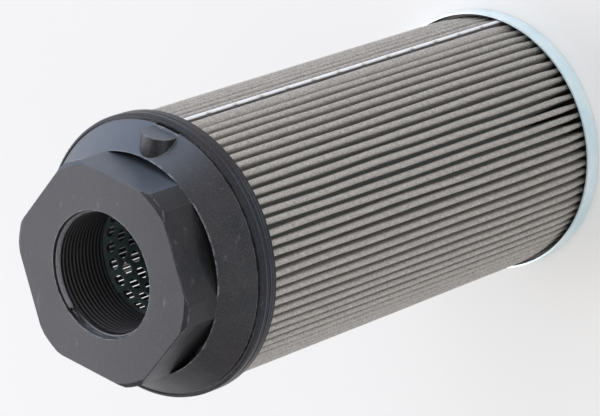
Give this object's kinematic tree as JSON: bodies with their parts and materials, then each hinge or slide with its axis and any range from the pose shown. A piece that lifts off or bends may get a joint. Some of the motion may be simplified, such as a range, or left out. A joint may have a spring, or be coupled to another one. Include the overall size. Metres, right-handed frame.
{
  "type": "suction strainer element",
  "caption": "In-tank suction strainer: moulded hexagon head with a female pipe thread, pleated wire mesh round a perforated core tube, and a pressed steel end cap.",
  "frame": {"origin": "centre of the end cap's underside, on the filter's axis", "axes": "+Z along the axis from the end cap to the threaded mouth; -Y through the round lug on the head's shoulder and the hexagon flat above it"},
  "size_m": [0.135, 0.135, 0.2925],
  "materials": {
    "head_plastic": "matte moulded black glass-filled nylon",
    "mesh_steel": "woven stainless wire cloth",
    "core_steel": "zinc-plated perforated sheet",
    "strip_metal": "bright folded strip",
    "cap_zinc": "bluish zinc plate",
    "adhesive": "cured epoxy"
  },
  "bodies": {
    "root": {"head": "head_plastic", "pleated_mesh": "mesh_steel", "core_tube": "core_steel", "seam_strip": "strip_metal", "end_cap": "cap_zinc", "cap_adhesive": "adhesive", "head_adhesive": "adhesive"}
  },
  "joints": []
}
